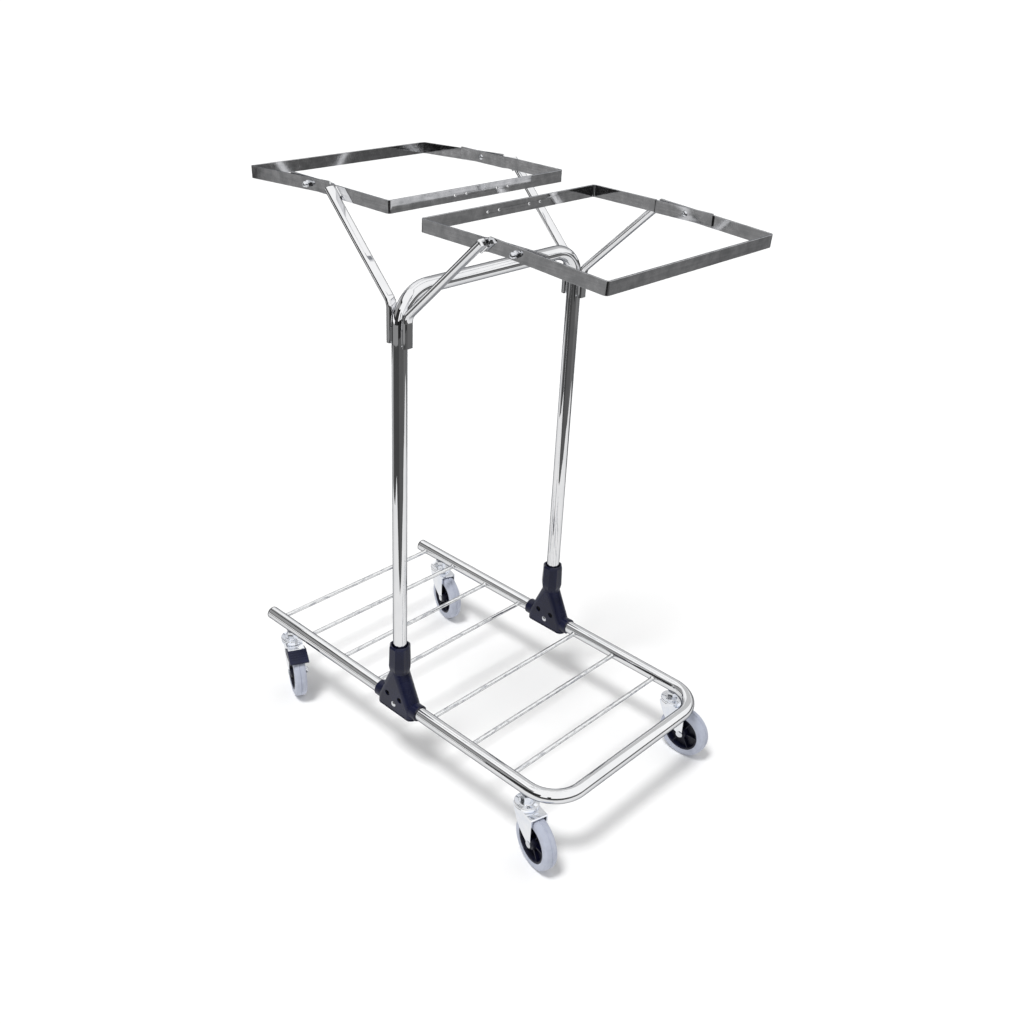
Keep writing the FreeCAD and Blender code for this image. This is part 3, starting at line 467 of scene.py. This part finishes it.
class TROLLEY_OT_base(bpy.types.Operator):
    """U-shaped base tube, its end caps and the cross rungs with their welds"""
    bl_idname = "trolley.base"
    bl_label = "Base and rungs"

    def execute(self, context):
        s = context.scene.trolley_sizes
        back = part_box("base_tube")[0].x
        route = rounded_route([
            (back, -s.rail_offset, s.base_height), (s.base_front, -s.rail_offset, s.base_height),
            (s.base_front, s.rail_offset, s.base_height), (back, s.rail_offset, s.base_height),
        ], s.base_bend)
        swept_piece("base_tube", route, (0, 0, 1), circle(s.tube_radius, TUBE_POINTS), finish("chrome"))
        for name in ("end_cap_near", "end_cap_far"):
            smooth_copy(name, finish("cap"), "frame", sharp=30)
        for number in range(1, RUNGS + 1):
            self.rung(s, "rung_%d" % number)
        return {"FINISHED"}

    def rung(self, s, node):
        """A plain rod whose ends swell into a weld: radius r (1 + swell w^0.7), with w rising from 0 to 1
        over the weld's length and a slight ripple from ring to ring."""
        low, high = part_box(node)
        x, z, reach = (low.x + high.x) / 2, (low.z + high.z) / 2, high.y
        # Rings close together along each weld and evenly spaced between them
        from_end = np.array([0.0, 0.0008, 0.0018, 0.003, WELD_LENGTH, 0.006])
        middle = np.linspace(-reach + 0.012, reach - 0.012, 33)
        y = np.concatenate([-reach + from_end, middle, (reach - from_end)[::-1]])
        weld = np.clip(1 - (reach - np.abs(y)) / WELD_LENGTH, 0, 1)
        ripple = 1 + WELD_RIPPLE * np.sin(np.arange(len(y)) * 2.1)
        swell = (1 + WELD_SWELL * weld ** 0.7) * np.where(weld > 0, ripple, 1.0)
        points = np.stack([np.full_like(y, x), y, np.full_like(y, z)], axis=-1)
        ways = np.tile([0.0, 1.0, 0.0], (len(y), 1))
        section = circle(s.rung_radius, RUNG_POINTS)
        swept_piece(node, (points, ways, y + reach), (0, 0, 1), section, finish("rod"), swell)


class TROLLEY_OT_mast(bpy.types.Operator):
    """Upright loop, and the four oval arms with their weld beads"""
    bl_idname = "trolley.mast"
    bl_label = "Mast and arms"

    def execute(self, context):
        s = context.scene.trolley_sizes
        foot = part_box("mast")[0].z
        route = rounded_route([
            (0, -s.rail_offset, foot), (0, -s.rail_offset, s.mast_height),
            (0, s.rail_offset, s.mast_height), (0, s.rail_offset, foot),
        ], s.mast_bend)
        swept_piece("mast", route, (1, 0, 0), circle(s.tube_radius, TUBE_POINTS), finish("chrome"))
        for side in ("near", "far"):
            for end in ("back", "front"):
                smooth_copy("arm_%s_%s" % (side, end), finish("chrome"), "frame", sharp=38)
        return {"FINISHED"}


class TROLLEY_OT_brackets(bpy.types.Operator):
    """Moulded bracket halves with their screws and nuts, the rivets and the inserts in the tube"""
    bl_idname = "trolley.brackets"
    bl_label = "Brackets"

    def execute(self, context):
        for side in ("near", "far"):
            for half in ("outer", "inner"):
                node = "bracket_%s_%s" % (side, half)
                smooth_copy(node, finish("bracket"), "frame", sharp=28, bevel=0.0008)
        for node in ("bracket_screws", "bracket_nuts"):
            # The bracket's screws and nuts take the near-black finish that paints the shade of their recesses
            smooth_copy(node, finish("recess_shade_screws"), "frame", sharp=30)
        for node in ("rail_rivets", "tube_inserts"):
            smooth_copy(node, finish("screws"), "frame", sharp=30)
        return {"FINISHED"}


class TROLLEY_OT_hoops(bpy.types.Operator):
    """Fixed and hinged halves of the two hoops with their pivots"""
    bl_idname = "trolley.hoops"
    bl_label = "Bag hoops"

    def execute(self, context):
        for end in ("front", "back"):
            smooth_copy("hoop_%s_fixed" % end, finish("bar"), "frame", sharp=32, bevel=0.0003)
            smooth_copy("hoop_%s_hinged" % end, finish("bar"), end + "_flap", sharp=32, bevel=0.0003)
        for node in ("pivot_bolts", "pivot_nuts"):
            smooth_copy(node, finish("screws"), "frame", sharp=30)
        return {"FINISHED"}


class TROLLEY_OT_castors(bpy.types.Operator):
    """Forks, axles, race caps, stems, hubs and tyres of the four castors, and the brake pedal"""
    bl_idname = "trolley.castors"
    bl_label = "Castors"

    def execute(self, context):
        joints = {j["name"]: j for j in frame["joints"]}
        for name in CASTORS:
            swivel, wheel = "swivel_" + name, "wheel_" + name
            smooth_copy("fork_" + name, finish("zinc"), swivel, sharp=35, bevel=0.0004)
            smooth_copy("axle_" + name, finish("screws"), swivel, sharp=30)
            smooth_copy("race_" + name, finish("zinc"), "frame", sharp=32)
            smooth_copy("stem_" + name, finish("screws"), "frame", sharp=30)
            smooth_copy("hub_" + name, finish("hub"), wheel, sharp=30)
            self.tyre("tyre_" + name, joints["wheel_%s_roll" % name], wheel)
        smooth_copy("stem_nuts", finish("screws"), "frame", sharp=30)
        smooth_copy("brake_pedal", finish("pedal"), "pedal", sharp=30, bevel=0.0004)
        smooth_copy("pedal_rivets", finish("screws"), "swivel_back_near", sharp=30)
        return {"FINISHED"}

    def tyre(self, node, joint, body):
        """A section turned about the axle: rounded shoulders, a slight crown and a fine middle groove."""
        # Radius and distance from the middle, in millimetres, of the half that is mirrored
        half = np.array([
            [36.0, 12.0], [38.0, 12.0], [42.0, 12.0], [44.5, 11.8], [46.4, 11.2], [47.9, 10.2], [48.8, 8.9],
            [49.3, 7.2], [49.65, 5.0], [49.9, 2.8], [49.98, 1.7], [48.8, 1.1], [48.5, 0.5], [48.5, 0.0],
        ]) / 1000
        profile = np.concatenate([half, half[::-1][1:] * [1, -1]])
        points = revolved(profile, joint["pos_m"], joint["axis"])
        faces = grid_faces(len(profile), TYRE_STEPS, close_rows=True)[:, ::-1]
        mesh_piece(node, points, faces, finish("tyre"), body, sharp=50)


class TROLLEY_OT_studio(bpy.types.Operator):
    """White floor, soft light, the room that the chrome reflects, and the camera"""
    bl_idname = "trolley.studio"
    bl_label = "Studio"

    def execute(self, context):
        scene = context.scene
        scene.view_settings.view_transform = "Standard"
        self.floor(scene.trolley_studio)
        self.cards()
        self.lights(scene, scene.trolley_studio)
        self.camera(scene, scene.trolley_studio)
        return {"FINISHED"}

    def plain(self, name, points, faces, material):
        """A flat-faced object of the stage."""
        mesh = bpy.data.meshes.new(name)
        mesh.from_pydata([tuple(p) for p in points], [], [tuple(f) for f in faces])
        mesh.materials.append(material)
        obj = bpy.data.objects.new(name, mesh)
        bpy.context.scene.collection.objects.link(obj)
        return obj

    def floor(self, studio):
        """Matt paper: no gloss, so that it shows only the soft shadows."""
        material, _, shader = new_material("matt_white_studio_floor")
        shader.inputs["Base Color"].default_value = (*studio.floor_colour, 1.0)
        shader.inputs["Roughness"].default_value = 0.9
        shader.inputs["Specular IOR Level"].default_value = 0.0
        r = FLOOR_REACH
        corners = [(-r, -r, 0), (r, -r, 0), (r, r, 0), (-r, r, 0)]
        self.plain("studio_floor", corners, [(0, 1, 2, 3)], material)

    def card(self, name, low, high, level):
        """A grey strip between two rows of points, that only reflections see."""
        material, tree, shader = new_material(name + "_grey")
        tree.nodes.remove(shader)
        glow = add_node(tree, "ShaderNodeEmission", inputs={
            "Color": (level, level, level, 1.0), "Strength": 1.0})
        tree.links.new(glow.outputs["Emission"], tree.nodes["Material Output"].inputs["Surface"])
        faces = grid_faces(2, len(low), close_columns=False)
        obj = self.plain(name, np.concatenate([low, high]), faces, material)
        obj.visible_camera = False
        obj.visible_diffuse = False
        obj.visible_transmission = False
        obj.visible_shadow = False

    def floor_card(self, name, level, lift, far, edge):
        """Floor beyond an edge of (heading in degrees, distance) pairs, out to the far distance.

        A card with more lift covers those with less."""
        heading, distance = np.array(edge, dtype=float).T
        fine = np.arange(heading[0], heading[-1] + 0.5, 1.0)
        ring = np.stack([np.cos(np.radians(fine)), np.sin(np.radians(fine)), np.zeros_like(fine)], axis=-1)
        near = ring * np.interp(fine, heading, distance)[:, None]
        self.card(name, near + [0, 0, lift], ring * far + [0, 0, lift], level)

    def wall_card(self, name, level, radius, start, end, low, high):
        """Upright strip of wall between two headings in degrees and two heights."""
        turn = np.radians(np.arange(start, end + 0.5, 2.0))
        ring = np.stack([radius * np.cos(turn), radius * np.sin(turn), np.full_like(turn, low)], axis=-1)
        self.card(name, ring, ring + [0, 0, high - low], level)

    def cards(self):
        """The room beyond the white sheet, as the chrome shows it."""
        # Name, grey level, lift, far distance and near edge
        for floor in (
            ("sheet", 0.84, 0.0015, 7.0, [(-180, 0.0), (180, 0.0)]),
            ("floor_left", 0.062, 0.002, 6.0, [
                (-134, 1.22), (-112, 1.22), (-102, 1.3), (-90, 1.42), (-84, 1.35), (-78, 1.2), (-66, 0.9),
                (-53, 0.74)]),
            ("floor_on_camera_side", 0.1, 0.002, 6.0, [
                (-54, 0.74), (-36, 0.76), (-24, 0.82), (-12, 0.95), (0, 1.05), (13, 1.3)]),
            ("floor_right", 0.14, 0.002, 6.0, [
                (12, 1.3), (24, 1.4), (36, 1.65), (45, 1.85), (60, 1.7), (72, 1.2), (92, 1.0)]),
            ("sheet_edge_left", 0.28, 0.002, 6.0, [(-152, 1.25), (-133, 1.22)]),
            ("floor_far_left", 0.06, 0.003, 6.0, [(-188, 2.0), (-162, 2.2), (-150, 2.4), (-144, 2.5)]),
            ("floor_far_side", 0.26, 0.004, 6.0, [(-146, 2.45), (-64, 2.5)]),
            ("floor_behind_camera", 0.02, 0.004, 6.0, [(-66, 2.6), (-16, 2.5)]),
            ("floor_far_right", 0.18, 0.004, 6.0, [(16, 2.4), (92, 2.4)]),
        ):
            self.floor_card(*floor)
        # Name, grey level, distance, first and last heading, bottom and top
        for wall in (
            ("wall_left", 0.31, 6.0, -188, -96, 0.8, 6.4),
            ("wall_left_skirting", 0.02, 5.9, -188, -96, 0.8, 1.5),
            ("wall_left_cornice", 0.03, 5.9, -170, -96, 5.2, 6.6),
            ("wall_behind_camera", 0.01, 6.0, -98, -14, 0.0, 0.9),
            ("doorway_left_of_camera", 0.03, 5.8, -118, -72, 0.0, 3.8),
            ("doorway_behind_camera", 0.03, 5.8, -56, -48, 0.0, 2.6),
            ("wall_right_foot", 0.1, 6.0, -14, 72, 0.0, 1.1),
            ("wall_far_foot", 0.12, 6.0, 72, 172, 0.0, 0.5),
            ("wall_far_rail", 0.35, 6.0, 72, 172, 1.35, 1.75),
            ("wall_far_haze", 0.6, 6.0, 84, 140, 2.6, 6.8),
        ):
            self.wall_card(*wall)

    def lights(self, scene, studio):
        """Even light all round that looks white, and one wide lamp that leans from the near side."""
        world = bpy.data.worlds.new("white_studio")
        scene.world = world
        world.use_nodes = True
        tree = world.node_tree
        tree.nodes.clear()
        path = add_node(tree, "ShaderNodeLightPath")
        direct = add_node(tree, "ShaderNodeMath", {"operation": "MAXIMUM"}, {
            0: path.outputs["Is Camera Ray"], 1: path.outputs["Is Glossy Ray"]})
        seen = add_node(tree, "ShaderNodeMath", {"operation": "MAXIMUM"}, {
            0: direct.outputs[0], 1: path.outputs["Is Transmission Ray"]})
        even = add_node(tree, "ShaderNodeBackground", inputs={
            "Color": (1, 1, 1, 1), "Strength": studio.sky_level})
        white = add_node(tree, "ShaderNodeBackground", inputs={"Color": (1, 1, 1, 1), "Strength": 1.0})
        mix = add_node(tree, "ShaderNodeMixShader", inputs={
            0: seen.outputs[0], 1: even.outputs[0], 2: white.outputs[0]})
        out = add_node(tree, "ShaderNodeOutputWorld")
        tree.links.new(mix.outputs[0], out.inputs["Surface"])
        data = bpy.data.lights.new("wide_lamp", "SUN")
        data.angle = studio.lamp_width
        data.energy = studio.lamp_level
        lamp = bpy.data.objects.new("wide_lamp", data)
        lamp.matrix_world = Matrix.Rotation(studio.lamp_lean, 4, "X")
        lamp.visible_glossy = False
        scene.collection.objects.link(lamp)

    def camera(self, scene, studio):
        """Placed and turned by the fit: heading, then tilt, then a slight roll about the view."""
        data = bpy.data.cameras.new("camera")
        data.lens = studio.lens
        data.sensor_width = 36.0
        data.clip_end = 200.0
        camera = bpy.data.objects.new("camera", data)
        turn = (Matrix.Rotation(CAMERA_HEADING, 4, "Z") @ Matrix.Rotation(math.pi / 2 - CAMERA_DOWN, 4, "X")
                @ Matrix.Rotation(CAMERA_ROLL, 4, "Z"))
        camera.matrix_world = Matrix.Translation(CAMERA_PLACE) @ turn
        scene.collection.objects.link(camera)
        scene.camera = camera


class TROLLEY_PT_panel(bpy.types.Panel):
    """Sidebar panel that lists the settings and the pieces"""
    bl_idname = "TROLLEY_PT_panel"
    bl_label = "Bag holder trolley"
    bl_space_type = "VIEW_3D"
    bl_region_type = "UI"
    bl_category = "Trolley"

    def draw(self, context):
        for group in (context.scene.trolley_sizes, context.scene.trolley_studio):
            for key in group.bl_rna.properties.keys():
                if key not in ("rna_type", "name"):
                    self.layout.prop(group, key)
        for name in STEPS:
            self.layout.operator(name)


STEPS = ("trolley.base", "trolley.mast", "trolley.brackets", "trolley.hoops", "trolley.castors",
         "trolley.studio")
CLASSES = (TrolleySizes, TrolleyStudio, TROLLEY_OT_base, TROLLEY_OT_mast, TROLLEY_OT_brackets,
           TROLLEY_OT_hoops, TROLLEY_OT_castors, TROLLEY_OT_studio, TROLLEY_PT_panel)


def register():
    for item in CLASSES:
        bpy.utils.register_class(item)
    bpy.types.Scene.trolley_sizes = PointerProperty(type=TrolleySizes)
    bpy.types.Scene.trolley_studio = PointerProperty(type=TrolleyStudio)


def unregister():
    del bpy.types.Scene.trolley_sizes
    del bpy.types.Scene.trolley_studio
    for item in reversed(CLASSES):
        bpy.utils.unregister_class(item)


def main():
    register()
    bpy.ops.trolley.base()
    bpy.ops.trolley.mast()
    bpy.ops.trolley.brackets()
    bpy.ops.trolley.hoops()
    bpy.ops.trolley.castors()
    bpy.ops.trolley.studio()


if __name__ == "__main__":
    main()
